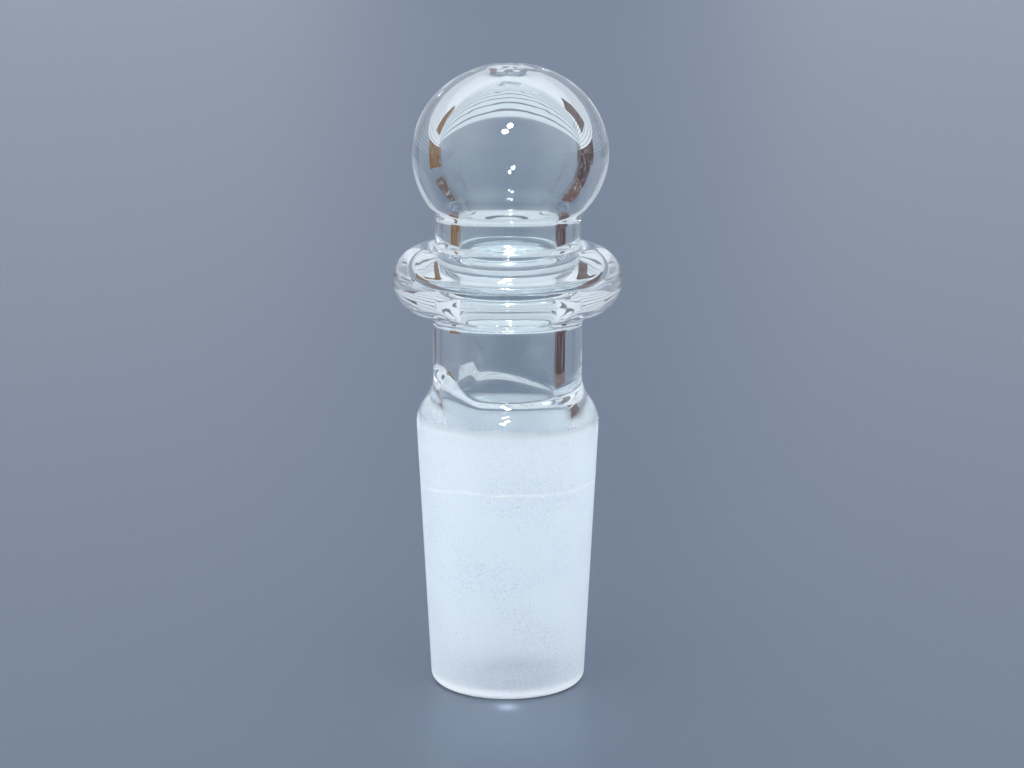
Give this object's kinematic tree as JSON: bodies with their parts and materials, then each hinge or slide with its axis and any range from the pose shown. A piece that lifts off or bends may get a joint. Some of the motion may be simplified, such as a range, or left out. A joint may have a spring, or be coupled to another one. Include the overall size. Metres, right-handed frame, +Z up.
{
  "type": "glass stopper",
  "caption": "Hollow blown glass stopper for a ground taper joint: frosted cone with a flat closed base, rounded collar and a ball grip, all one piece",
  "frame": {"origin": "centre of the flat base on which the stopper stands, at the small end of the cone", "axes": "+Z runs up the stopper's axis from the cone to the ball; the stopper is round, so X and Y are free"},
  "size_m": [0.0178, 0.0178, 0.0489],
  "materials": {
    "borosilicate_glass": "clear and fire polished, ground to a fine frost on the cone"
  },
  "bodies": {
    "root": {"stopper": "borosilicate_glass"}
  },
  "joints": []
}
